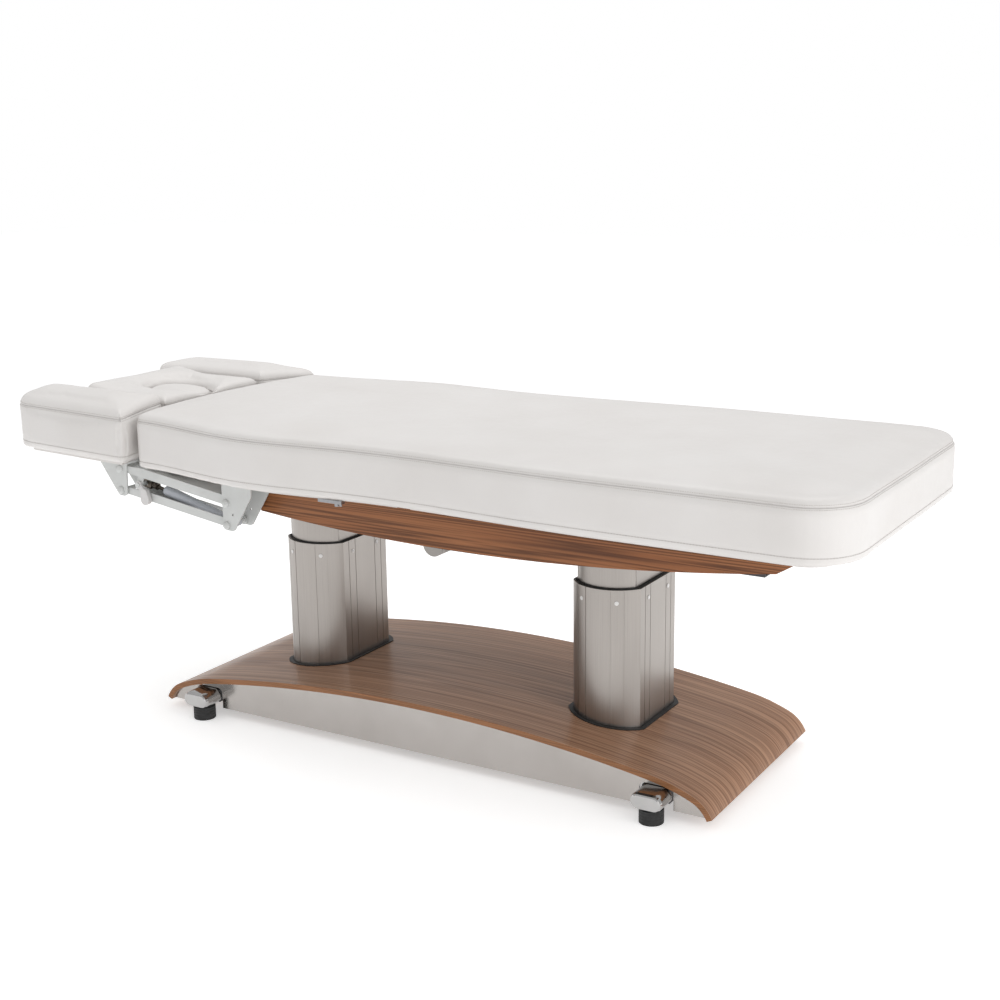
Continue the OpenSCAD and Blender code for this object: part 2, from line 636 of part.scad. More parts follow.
// Gas spring: the body turns on the lower fixed bolt, the rod ends in a clevis on the lug pin
module gas_spring_body() sloped(pivot_b, gas_tilt) translate([0, link_y, 0]) difference() {
    union() {
        bar_y(8.5, [0, 0], -8, 8);
        translate([-6, 0, 0]) rotate([0, -90, 0]) cylinder(r = 7.5, h = 30);
        translate([-25, 0, 0]) rotate([0, -90, 0]) cylinder(r1 = 9, r2 = 13, h = 177);
        translate([-202, 0, 0]) rotate([0, -90, 0]) cylinder(r1 = 13, r2 = 11, h = 5);
    }
    bar_y(bolt_r + clear, [0, 0], -20, 20);
    translate([-60, 0, 0]) rotate([0, -90, 0]) cylinder(r = 4 + clear, h = 200);
}
module gas_spring_rod() sloped(pivot_b, gas_tilt) translate([0, link_y, 0]) {
    translate([-90, 0, 0]) rotate([0, -90, 0]) cylinder(r = 4, h = gas_l - 26 - 90);
    difference() {
        union() {
            translate([-gas_l + 30, 0, 0]) rotate([0, -90, 0]) cylinder(r = 8, h = 14);
            block([-gas_l - 4, -9, -9], [-gas_l + 17, 9, 9]);
            bar_y(9.5, [-gas_l, 0], -9, 9);
        }
        bar_y(lug_pin_r + 2.5, [-gas_l, 0], -20, 20);
        block([-gas_l - 20, -4, -12], [-gas_l + 10, 4, 12]);
    }
}
module gas_spring_body_near() color([0.78, 0.79, 0.81]) placed() near() gas_spring_body();
module gas_spring_body_far() color([0.78, 0.79, 0.81]) placed() gas_spring_body();
module gas_spring_rod_near() color([0.25, 0.23, 0.21]) placed() near() gas_spring_rod();
module gas_spring_rod_far() color([0.25, 0.23, 0.21]) placed() gas_spring_rod();

lever_c = [-681, 507];
module release_lever() difference() {
    union() {
        plate_y(link_y + 28.2, link_y + 33.2) union() {
            disc(9, lug_pin);
            hull() {
                disc(6, lug_pin);
                disc(6, [lever_c.x, lever_c.y + 12]);
            }
        }
        plate_y(link_y + 28.2, link_y + 38) hull() {
            disc(12, lever_c);
            disc(9, [lever_c.x - 2, lever_c.y + 16]);
        }
    }
    bar_y(lug_pin_r + clear, lug_pin, 200, 320);
}
module release_lever_near() color([0.85, 0.84, 0.84]) placed() near() release_lever();
module release_lever_far() color([0.85, 0.84, 0.84]) placed() release_lever();

// ---------- head rest ----------

module head_hinge_arms() color([0.55, 0.55, 0.56]) placed() sides() {
    plate_y(86, 94) union() {
        translate([head_hinge.x, 560]) square([back_bar_x[0] - 15.2 - head_hinge.x, board_z[0] - 560]);
        disc(10, head_hinge);
    }
    bar_y(5, head_hinge, 70, 110);
}

module head_outline(inset) difference() {
    offset(delta = -inset) hull() for (s = [-1, 1]) {
        disc(25, [head_end + 25, s * (head_half_w - 25)]);
        disc(10, [-730, s * (head_half_w - 10)]);
    }
    translate([head_end_x + head_edge_r, 0]) circle(head_edge_r + pad_gap + inset, $fn = 180);
}
module oval(grow) translate([plug_x, 0]) resize([plug_l + 2 * grow, plug_w + 2 * grow]) circle(50);
module head_board() color([0.75, 0.6, 0.42]) placed() {
    slab(rest_board_z, arm_bottom) difference() {
        head_outline(20);
        oval(-hole_margin);
    }
    sides() difference() {
        for (y = [76, 95]) plate_y(y, y + 9) hull() {
            disc(10, head_hinge);
            translate([head_hinge.x - 12, 587]) square([24, 1]);
        }
        bar_y(5 + clear, head_hinge, 60, 120);
    }
}
module head_cushion() color([0.93, 0.92, 0.9]) placed() slab(arm_bottom, head_top) difference() {
    head_outline(0);
    oval(0.6);
}
module face_plug() color([0.93, 0.92, 0.9]) placed() slab(arm_bottom + 0.2, head_top - 10) oval(0);

rubber_feet();
pod_caps();
cross_tubes();
base_rails();
column_base_plates();
cover_ribs();
base_panel_near();
base_panel_far();
base_cover();
cutout_trims();
column_outer_head();
column_outer_foot();
column_wipers();
column_buttons();
lift_motors();
control_box();
power_inlet();
column_inner_head();
column_inner_foot();
lift_rods();
top_rails();
top_crossbars();
back_hinge_brackets();
actuator_bracket();
skirt_near();
skirt_far();
skirt_end_board();
leg_board();
mattress_leg();
mattress_fold();
back_actuator_body();
back_actuator_rod();
back_rails();
back_crossbars();
back_board();
mattress_back();
edge_clips();
arm_bracket_fixed_near();
arm_bracket_fixed_far();
fixed_bolts();
head_hinge_arms();
arm_link_upper_near();
arm_link_upper_far();
arm_link_lower_near();
arm_link_lower_far();
arm_bracket_moving_near();
arm_bracket_moving_far();
arm_board_near();
arm_board_far();
arm_cushion_near();
arm_cushion_far();
gas_spring_body_near();
gas_spring_body_far();
gas_spring_rod_near();
gas_spring_rod_far();
release_lever_near();
release_lever_far();
head_board();
head_cushion();
face_plug();
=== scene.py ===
import json
import math

import bmesh
import bpy
import numpy as np
from mathutils import Matrix, Vector
from mathutils.bvhtree import BVHTree
from mathutils.kdtree import KDTree


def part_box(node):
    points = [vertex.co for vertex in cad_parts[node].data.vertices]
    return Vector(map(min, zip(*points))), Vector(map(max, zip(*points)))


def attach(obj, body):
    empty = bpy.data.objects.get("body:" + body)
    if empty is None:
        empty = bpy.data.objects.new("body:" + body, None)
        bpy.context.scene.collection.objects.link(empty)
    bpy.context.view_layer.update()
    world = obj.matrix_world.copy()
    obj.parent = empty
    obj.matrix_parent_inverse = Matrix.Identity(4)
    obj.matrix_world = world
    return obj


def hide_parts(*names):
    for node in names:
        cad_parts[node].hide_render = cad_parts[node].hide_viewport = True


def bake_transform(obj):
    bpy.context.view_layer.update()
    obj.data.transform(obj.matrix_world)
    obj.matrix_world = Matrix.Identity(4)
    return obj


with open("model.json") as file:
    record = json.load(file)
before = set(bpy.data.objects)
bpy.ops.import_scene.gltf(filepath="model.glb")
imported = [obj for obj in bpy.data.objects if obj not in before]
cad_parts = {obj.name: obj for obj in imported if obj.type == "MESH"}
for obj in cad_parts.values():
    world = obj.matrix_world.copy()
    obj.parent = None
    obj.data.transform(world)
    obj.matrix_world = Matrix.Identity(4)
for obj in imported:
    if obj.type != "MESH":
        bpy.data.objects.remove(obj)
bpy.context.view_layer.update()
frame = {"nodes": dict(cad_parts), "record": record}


# ---------- small helpers ----------

def new_object(name, vertices, faces, smooth=True):
    mesh = bpy.data.meshes.new(name)
    mesh.from_pydata([tuple(v) for v in vertices], [], faces)
    mesh.validate()
    if smooth:
        mesh.shade_smooth()
    obj = bpy.data.objects.new(name, mesh)
    bpy.context.scene.collection.objects.link(obj)
    return obj


def points_of(obj):
    co = np.empty(len(obj.data.vertices) * 3)
    obj.data.vertices.foreach_get("co", co)
    return co.reshape(-1, 3)


def move_points(obj, co):
    obj.data.vertices.foreach_set("co", np.ascontiguousarray(co, np.float32).ravel())
    obj.data.update()


def normals_of(obj):
    found = np.empty(len(obj.data.vertices) * 3, np.float32)
    obj.data.vertex_normals.foreach_get("vector", found)
    return found.reshape(-1, 3).astype(float)


def keep_modifiers(obj):
    """Replaces the object's mesh by what its modifiers make of it."""
    graph = bpy.context.evaluated_depsgraph_get()
    made = bpy.data.meshes.new_from_object(obj.evaluated_get(graph))
    obj.modifiers.clear()
    old = obj.data
    obj.data = made
    bpy.data.meshes.remove(old)
    made.name = obj.name
    made.shade_smooth()


def add_attribute(obj, name, values):
    attribute = obj.data.attributes.new(name, "FLOAT", "POINT")
    attribute.data.foreach_set("value", np.ascontiguousarray(values, np.float32))


def ease(t):
    t = np.clip(t, 0, 1)
    return t * t * (3 - 2 * t)


# ---------- materials ----------

class Nodes:
    """A material's node tree, with short calls for the nodes that every material here uses."""

    def __init__(self, name):
        self.material = bpy.data.materials.new(name)
        self.material.use_nodes = True
        self.tree = self.material.node_tree
        self.shader = self.tree.nodes["Principled BSDF"]

    def add(self, kind, **settings):
        node = self.tree.nodes.new(kind)
        for key, value in settings.items():
            setattr(node, key, value)
        return node

    def wire(self, source, target):
        self.tree.links.new(source, target)

    def set(self, **values):
        for key, value in values.items():
            socket = self.shader.inputs[key.replace("_", " ")]
            socket.default_value = (*value, 1) if isinstance(value, tuple) and len(value) == 3 else value

    def place(self, stretch=(1, 1, 1)):
        """The place on the object, in metres times a stretch."""
        where = self.add("ShaderNodeTexCoord").outputs["Object"]
        mapping = self.add("ShaderNodeMapping")
        mapping.inputs["Scale"].default_value = stretch
        self.wire(where, mapping.inputs["Vector"])
        return mapping.outputs["Vector"]

    def noise(self, stretch, detail=2.0, rough=0.5, twist=0.0):
        node = self.add("ShaderNodeTexNoise")
        self.wire(self.place(stretch), node.inputs["Vector"])
        node.inputs["Scale"].default_value = 1.0
        node.inputs["Detail"].default_value = detail
        node.inputs["Roughness"].default_value = rough
        node.inputs["Distortion"].default_value = twist
        return node.outputs["Fac"]

    def cells(self, scale):
        node = self.add("ShaderNodeTexVoronoi", feature="F1")
        self.wire(self.place(), node.inputs["Vector"])
        node.inputs["Scale"].default_value = scale
        return node.outputs["Distance"]

    def ramp(self, value, *stops):
        node = self.add("ShaderNodeValToRGB")
        self.wire(value, node.inputs["Fac"])
        ramp = node.color_ramp
        while len(ramp.elements) < len(stops):
            ramp.elements.new(0.5)
        for element, (place, colour) in zip(ramp.elements, stops):
            element.position = place
            element.color = (*colour, 1) if isinstance(colour, tuple) else (colour, colour, colour, 1)
        return node.outputs["Color"]

    def span(self, value, low, high, to_low, to_high):
        node = self.add("ShaderNodeMapRange", clamp=True)
        self.wire(value, node.inputs["Value"])
        for key, number in zip(("From Min", "From Max", "To Min", "To Max"), (low, high, to_low, to_high)):
            node.inputs[key].default_value = number
        return node.outputs["Result"]

    def blend(self, share, first, second):
        node = self.add("ShaderNodeMix", data_type="RGBA")
        for socket, value in ((0, share), (6, first), (7, second)):
            if isinstance(value, (int, float)):
                node.inputs[socket].default_value = value if socket == 0 else (value, value, value, 1)
            elif isinstance(value, tuple):
                node.inputs[socket].default_value = (*value, 1)
            else:
                self.wire(value, node.inputs[socket])
        return node.outputs[2]

    def math(self, operation, first, second=0.0):
        node = self.add("ShaderNodeMath", operation=operation)
        for socket, value in enumerate((first, second)):
            if isinstance(value, (int, float)):
                node.inputs[socket].default_value = value
            else:
                self.wire(value, node.inputs[socket])
        return node.outputs[0]

    def attribute(self, name):
        return self.add("ShaderNodeAttribute", attribute_name=name).outputs["Fac"]

    def edge_facing_y(self):
        """1 where the surface faces across the bed, 0 elsewhere."""
        normal = self.add("ShaderNodeNewGeometry").outputs["Normal"]
        split = self.add("ShaderNodeSeparateXYZ")
        self.wire(normal, split.inputs[0])
        return self.span(self.math("ABSOLUTE", split.outputs["Y"]), 0.75, 0.92, 0, 1)

    def bump(self, *layers):
        """Stacks (height, depth in metres) layers of relief on the shader's normal."""
        below = None
        for height, depth in layers:
            node = self.add("ShaderNodeBump")
            node.inputs["Strength"].default_value = 1
            node.inputs["Distance"].default_value = depth
            self.wire(height, node.inputs["Height"])
            if below:
                self.wire(below, node.inputs["Normal"])
            below = node.outputs["Normal"]
        self.wire(below, self.shader.inputs["Normal"])

    def colour(self, value):
        self.wire(value, self.shader.inputs["Base Color"])

    def roughness(self, value):
        self.wire(value, self.shader.inputs["Roughness"])


def groove(n, name, width):
    """1 along a sewn line, falling to 0 at a width on both sides of it."""
    return n.span(n.math("ABSOLUTE", n.attribute(name)), 0, width, 1, 0)


def leather(name, sewn):
    n = Nodes(name)
    n.set(Specular_IOR_Level=0.35, Coat_Weight=0.08, Coat_Roughness=0.35, Sheen_Weight=0.05)
    cloud = n.noise((5, 5, 5), detail=3)
    base = n.ramp(cloud, (0.3, (0.685, 0.660, 0.640)), (0.7, (0.725, 0.704, 0.688)))
    grain = n.cells(620)
    crease = n.noise((260, 260, 260), detail=4, rough=0.6)
    base = n.blend(n.span(grain, 0, 0.35, 0.10, 0), base, (0.62, 0.59, 0.565))
    layers = [(grain, 0.00007), (crease, 0.00009), (n.noise((38, 38, 38), detail=2), 0.0004)]
    if sewn:
        # Painted shade: the leather's colour is darkened along the seam and hem grooves, where shade falls
        # in them. The bump layers below also dent these grooves.
        line = groove(n, "seam", 0.0016)
        hem = groove(n, "hem", 0.0012)
        dark = n.math("MAXIMUM", n.math("MULTIPLY", line, 0.50), n.math("MULTIPLY", hem, 0.30))
        base = n.blend(dark, base, (0.40, 0.365, 0.34))
        layers += [(n.math("SUBTRACT", 1, line), 0.0012), (n.math("SUBTRACT", 1, hem), 0.0006)]
    n.colour(base)
    n.roughness(n.span(n.noise((60, 60, 60), detail=3), 0.3, 0.7, 0.40, 0.50))
    n.bump(*layers)
    return n.material


def thread():
    n = Nodes("thread")
    n.colour(n.ramp(n.noise((900, 900, 900)), (0.3, (0.50, 0.47, 0.445)), (0.7, (0.62, 0.595, 0.57))))
    n.set(Roughness=0.7)
    n.bump((n.noise((2500, 2500, 2500)), 0.00005))
    return n.material


def walnut(name, pale, mid, dark, line_share, edge, gloss, upright):
    """Straight-grained veneer under lacquer. The grain runs along the bed, and edge colours the cut edge.

    The grain changes with height on an upright board, and across the bed on a bent cover.
    """

    def stretch(along, fine):
        return (along, along, fine) if upright else (along, fine, along)

    n = Nodes(name)
    n.set(Coat_Weight=gloss, Coat_Roughness=0.16, Specular_IOR_Level=0.25)
    across = 34
    bands = n.noise(stretch(0.9, across * 0.5), detail=3, twist=0.6)
    colour = n.ramp(bands, (0.28, mid), (0.5, pale), (0.72, mid))
    streaks = n.noise(stretch(1.4, across * 3.2), detail=4, rough=0.62, twist=0.25)
    colour = n.blend(n.span(streaks, 0.35, 0.75, 0, 0.5), colour, mid)
    lines = n.noise(stretch(0.5, across * 1.3), detail=2, rough=0.45, twist=0.3)
    for level, width in ((0.38, 0.030), (0.46, 0.036), (0.54, 0.036), (0.62, 0.030)):
        near_line = n.span(n.math("ABSOLUTE", n.math("SUBTRACT", lines, level)), 0, width, line_share, 0)
        colour = n.blend(near_line, colour, dark)
    pores = n.noise(stretch(9, across * 14), detail=2, rough=0.5)
    colour = n.blend(n.span(pores, 0.55, 0.75, 0, 0.18), colour, dark)
    if edge:
        plies = n.noise((3, 3, 420), detail=2)
        cut = n.ramp(plies, (0.35, edge), (0.65, tuple(0.62 * c for c in edge)))
        colour = n.blend(n.edge_facing_y(), colour, cut)
    n.colour(colour)
    n.roughness(n.span(streaks, 0.3, 0.7, 0.30, 0.42))
    n.bump((pores, 0.00006), (streaks, 0.00008))
    return n.material


def plywood():
    n = Nodes("birch_ply")
    n.colour(n.ramp(n.noise((3, 60, 60), detail=4), (0.3, (0.50, 0.36, 0.22)), (0.7, (0.66, 0.50, 0.33))))
    n.set(Roughness=0.65)
    n.bump((n.noise((8, 300, 300), detail=3), 0.0001))
    return n.material


def brushed(name, light, shade, rough, along):
    """Metal with fine lines. along is the stretch of the lines' pattern in X, Y and Z."""
    n = Nodes(name)
    n.set(Metallic=1.0, Anisotropic=0.3)
    lines = n.noise(along, detail=3, rough=0.6)
    cloud = n.noise((7, 7, 3), detail=2)
    base = n.ramp(n.blend(0.45, lines, cloud), (0.3, shade), (0.7, light))
    n.colour(base)
    n.roughness(n.span(lines, 0.3, 0.7, rough - 0.05, rough + 0.07))
    n.bump((lines, 0.00004))
    return n.material


def mirror_panel():
    n = Nodes("satin_panel")
    n.set(Metallic=1.0)
    cloud = n.noise((9, 9, 9), detail=4)
    n.colour(n.ramp(cloud, (0.3, (0.42, 0.395, 0.375)), (0.7, (0.47, 0.445, 0.425))))
    n.roughness(n.span(n.noise((70, 70, 70), detail=3), 0.3, 0.7, 0.16, 0.24))
    n.bump((n.noise((14, 14, 14), detail=1), 0.0003))
    return n.material


def chrome(name, tint, rough):
    n = Nodes(name)
    n.set(Metallic=1.0)
    n.colour(n.ramp(n.noise((30, 30, 30), detail=3), (0.3, tint), (0.7, tuple(0.93 * c for c in tint))))
    n.roughness(n.span(n.noise((220, 220, 220), detail=3), 0.35, 0.7, rough, rough + 0.06))
    n.bump((n.noise((60, 60, 60), detail=2), 0.00005))
    return n.material


def coated(name, light, shade, rough, texture=900, depth=0.00008, gloss=0.0):
    """Paint, powder coat or moulded plastic: a fine skin texture and slight clouding in its colour."""
    n = Nodes(name)
    n.set(Coat_Weight=gloss, Coat_Roughness=0.12)
    n.colour(n.ramp(n.noise((16, 16, 16), detail=4), (0.3, shade), (0.7, light)))
    skin = n.noise((texture, texture, texture), detail=2)
    n.roughness(n.span(n.noise((50, 50, 50), detail=3), 0.3, 0.7, rough - 0.04, rough + 0.06))
    n.bump((skin, depth))
    return n.material


def rubber():
    n = Nodes("foot_rubber")
    cloud = n.noise((90, 90, 90), detail=4)
    n.colour(n.ramp(cloud, (0.35, (0.008, 0.008, 0.008)), (0.7, (0.02, 0.02, 0.021))))
    n.set(Roughness=0.62)
    ribs = n.add("ShaderNodeTexWave", wave_type="BANDS", bands_direction="Z")
    n.wire(n.place(), ribs.inputs["Vector"])
    ribs.inputs["Scale"].default_value = 48
    n.bump((ribs.outputs["Fac"], 0.0006), (n.noise((700, 700, 700)), 0.0001))
    return n.material


materials = {
    "rubber": rubber(),
    "chrome": chrome("bright_chrome", (0.50, 0.495, 0.49), 0.06),
    "frame_paint": coated("dark_frame_paint", (0.05, 0.05, 0.053), (0.035, 0.035, 0.037), 0.45),
    "plywood": plywood(),
    "panel_steel": mirror_panel(),
    "base_walnut": walnut("pale_walnut", (0.49, 0.285, 0.175), (0.36, 0.185, 0.105), (0.15, 0.063, 0.028),
                          0.75, (0.33, 0.145, 0.060), 0.15, False),
    "skirt_walnut": walnut("dark_walnut", (0.35, 0.142, 0.056), (0.24, 0.086, 0.031), (0.050, 0.016, 0.006),
                           0.75, None, 0.06, True),
    "black_plastic": coated("black_plastic", (0.018, 0.018, 0.018), (0.010, 0.010, 0.010), 0.5),
    "column_aluminium": brushed("brushed_column", (0.43, 0.40, 0.375), (0.33, 0.305, 0.285), 0.36,
                                (900, 900, 5)),
    "button_plastic": coated("pale_button", (0.80, 0.79, 0.78), (0.72, 0.71, 0.70), 0.3, gloss=0.4),
    "motor_plastic": coated("motor_plastic", (0.50, 0.475, 0.45), (0.43, 0.405, 0.38), 0.5),
    "rod_steel": chrome("ground_steel", (0.55, 0.55, 0.56), 0.14),
    "bracket_paint": coated("powder_coat", (0.63, 0.64, 0.63), (0.56, 0.57, 0.56), 0.46, 1400, 0.00012),
    "zinc_steel": brushed("zinc_plate", (0.40, 0.40, 0.41), (0.26, 0.26, 0.27), 0.34, (120, 120, 120)),
    "white_leather": leather("white_leather", True),
    "spring_cover": coated("spring_cover", (0.56, 0.585, 0.63), (0.50, 0.525, 0.57), 0.26, gloss=0.5),
    "clevis_steel": brushed("dark_clevis", (0.22, 0.19, 0.165), (0.08, 0.066, 0.056), 0.3, (300, 300, 300)),
    "lever_plastic": coated("lever_plastic", (0.66, 0.645, 0.64), (0.60, 0.585, 0.58), 0.3, gloss=0.35),
}
thread_material = thread()
for part in frame["record"]["subparts"]:
    node = frame["nodes"][part["node"]]
    node.data.materials.clear()
    node.data.materials.append(materials[part["material_slot"]])
# The leather is drawn round the edges of the boards and stapled underneath, so no bare wood shows.
wrapped_leather = leather("wrapped_leather", False)
for name in ("arm_board_near", "arm_board_far", "head_board", "leg_board", "back_board"):
    frame["nodes"][name].data.materials[0] = wrapped_leather


# ---------- upholstery ----------

# Lengths are in metres.
LOOP_STEP = 0.002  # between the points of an outline
PRISM_STEP = 0.006  # between the points of a cushion's first, coarse solid
BASE_GAP = 0.0005  # between a cushion and the board under it
FLAT_BAND = 0.004  # the lowest part of a cushion, which rests flat on its board
RISE_BELOW_SEAM = 0.02  # how far below the seam the crown starts to lift the cover
SEAM_FOLLOWS = 0.55  # how much of the relief the seam follows
SEAM_DEPTH, SEAM_WIDTH = 0.0014, 0.007
PUCKER_WIDTH = 0.020
HEM_DEPTH, HEM_WIDTH = 0.0005, 0.004
SLACK, SLACK_WAVE, SLACK_HEIGHT = 0.0011, 0.16, 0.05  # long shallow waves of the cover near the bottom
STITCH_BELOW, STITCH_ABOVE = 0.0042, 0.0038  # the rows of stitches on both sides of a seam
STITCH_RINGS = ((-0.5, 0.35), (-0.25, 1.0), (0.25, 1.0), (0.5, 0.35))  # (place along, share of the radius)
STITCH_SIDES = 5
RAY_START = 0.03  # how far outside the outline a ray that looks for the cover starts
KNOTS = 4096  # random values in a curve of smooth noise, before it repeats


def rim_of(nodes, inner=None):
    """The plan outline of extruded CAD nodes, as points in order round it.

    inner is a hole's centre and half sizes, and gives the outline of that hole instead.
    """
    found = []
    for node in nodes:
        co = points_of(frame["nodes"][node])
        found.append(co[co[:, 2] > co[:, 2].max() - 1e-5][:, :2])
    flat = np.unique(np.round(np.vstack(found), 5), axis=0)
    middle = (flat.min(0) + flat.max(0)) / 2
    if inner is not None:
        keep = np.linalg.norm((flat - inner[:2]) / inner[2:], axis=1) < 1
        flat = flat[keep]
        middle = np.array(inner[:2])
    angle = np.arctan2(*(flat - middle).T[::-1])
    return flat[np.argsort(angle)]


def resample(loop, step):
    """The closed loop as points an even step apart."""
    closed = np.vstack([loop, loop[:1]])
    along = np.concatenate([[0], np.cumsum(np.linalg.norm(np.diff(closed, axis=0), axis=1))])
    count = max(8, round(along[-1] / step))
    at = np.arange(count) * along[-1] / count
    return np.stack([np.interp(at, along, closed[:, i]) for i in (0, 1)], axis=1)


def soften(loop, reach, step=LOOP_STEP):
    """The loop at an even step, with its corners rounded over about a reach."""
    loop = resample(loop, step)
    offsets = np.arange(-3 * reach, 3 * reach + step, step)
    weights = np.exp(-0.5 * (offsets / reach) ** 2)
    weights /= weights.sum()
    shifts = np.round(offsets / step).astype(int)
    return sum(w * np.roll(loop, s, axis=0) for w, s in zip(weights, shifts))


def outward(loop, hole=False):
    """The loop's normals, pointing out of the cushion."""
    along = np.roll(loop, -1, axis=0) - np.roll(loop, 1, axis=0)
    normal = np.stack([along[:, 1], -along[:, 0]], axis=1)
    normal /= np.linalg.norm(normal, axis=1)[:, None]
    return -normal if hole else normal


class Edge:
    """The edge of a cushion, seen from above.

    For any point it tells how far inside it lies, which way is out, and which edge point is nearest.
    turn says how sharply the edge bends at each of its points.
    """

    def __init__(self, loops):
        self.points = np.vstack(loops)
        self.normals = np.vstack([outward(loop, i > 0) for i, loop in enumerate(loops)])
        turn = []
        for loop in loops:
            n = outward(loop)
            reach = 4
            step = np.linalg.norm(np.roll(loop, -1, axis=0) - loop, axis=1)
            change = np.linalg.norm(np.roll(n, -reach, axis=0) - np.roll(n, reach, axis=0), axis=1)
            turn.append(change / (2 * reach * step))
        self.turn = np.concatenate(turn)
        self.tree = KDTree(len(self.points))
        for i, p in enumerate(self.points):
            self.tree.insert((p[0], p[1], 0), i)
        self.tree.balance()

    def at(self, co):
        index = np.array([self.tree.find((x, y, 0))[1] for x, y in co[:, :2]])
        inside = -((co[:, :2] - self.points[index]) * self.normals[index]).sum(1)
        return inside, self.normals[index], index


def prism(name, loops, low, high):
    """A closed solid with these loops as its plan: the outside first, then any hole."""
    made = bmesh.new()
    for z in (low, high):
        edges = []
        for loop in loops:
            ring = [made.verts.new((x, y, z)) for x, y in resample(loop, PRISM_STEP)]
            edges += [made.edges.new((a, b)) for a, b in zip(ring, ring[1:] + ring[:1])]
        bmesh.ops.triangle_fill(made, edges=edges, use_beauty=True)
    made.verts.ensure_lookup_table()
    start = 0
    half = len(made.verts) // 2
    for loop in loops:
        count = len(resample(loop, PRISM_STEP))
        for i in range(count):
            a, b = start + i, start + (i + 1) % count
            made.faces.new([made.verts[k] for k in (a, b, b + half, a + half)])
        start += count
    bmesh.ops.recalc_face_normals(made, faces=made.faces)
    mesh = bpy.data.meshes.new(name)
    made.to_mesh(mesh)
    made.free()
    obj = bpy.data.objects.new(name, mesh)
    bpy.context.scene.collection.objects.link(obj)
    return obj


def remesh(obj, size):
    modifier = obj.modifiers.new("Remesh", "REMESH")
    modifier.mode = "VOXEL"
    modifier.voxel_size = size
    keep_modifiers(obj)


def round_edges(co, edge, top, bottom, top_r, bottom_r):
    """Bends the square edges of a prism into quarter rounds."""
    inside, out, _ = edge.at(co)
    inside = np.clip(inside, 0, None)
    new = co.copy()
    for level, radius, way in ((top, top_r, -1), (bottom, bottom_r, 1)):
        depth = (co[:, 2] - level) * way
        near = (inside < radius) & (depth < radius)
        angle = (1 + (depth - inside) / radius) / 2 * math.pi / 2
        target_in = radius * (1 - np.sin(angle))
        target_depth = radius * (1 - np.cos(angle))
        shift = (inside - target_in)[near, None] * out[near]
        new[near, :2] = co[near, :2] + shift
        new[near, 2] = level + way * target_depth[near]
    return new


def inflate(obj, limit, hold_below, frames=20, pressure=4.0):
    """Swells the mesh with Cloth under pressure, up to a limit.

    Foam holds the cover of a real cushion, so no point keeps a movement inwards.
    """
    before = points_of(obj)
    normals = normals_of(obj)
    pinned = obj.vertex_groups.new(name="pinned")
    held = np.nonzero(before[:, 2] < hold_below)[0].tolist()
    pinned.add(held, 1.0, "REPLACE")
    modifier = obj.modifiers.new("Cloth", "CLOTH")
    cloth = modifier.settings
    cloth.use_pressure = True
    cloth.uniform_pressure_force = pressure
    cloth.vertex_group_mass = "pinned"
    cloth.effector_weights.gravity = 0
    cloth.quality = 4
    modifier.collision_settings.use_collision = False
    scene = bpy.context.scene
    scene.frame_start, scene.frame_end = 1, frames
    for number in range(1, frames + 1):
        scene.frame_set(number)
    graph = bpy.context.evaluated_depsgraph_get()
    result = obj.evaluated_get(graph).data
    after = np.empty(len(result.vertices) * 3)
    result.vertices.foreach_get("co", after)
    scene.frame_set(1)
    obj.modifiers.clear()
    obj.vertex_groups.clear()
    move = after.reshape(-1, 3) - before
    sunk = np.minimum((move * normals).sum(1), 0)
    move -= normals * sunk[:, None]
    length = np.linalg.norm(move, axis=1)
    share = np.minimum(1, limit / np.maximum(length, 1e-9))
    move_points(obj, before + move * share[:, None])


def smooth_noise(along, wave, seed):
    """A smooth random curve from -1 to 1 along a length, with about this wavelength."""
    knots = np.random.default_rng(seed).uniform(-1, 1, KNOTS)
    at = np.asarray(along) / wave + 100
    low = np.floor(at).astype(int)
    share = ease(at - low)
    return knots[low % KNOTS] * (1 - share) + knots[(low + 1) % KNOTS] * share


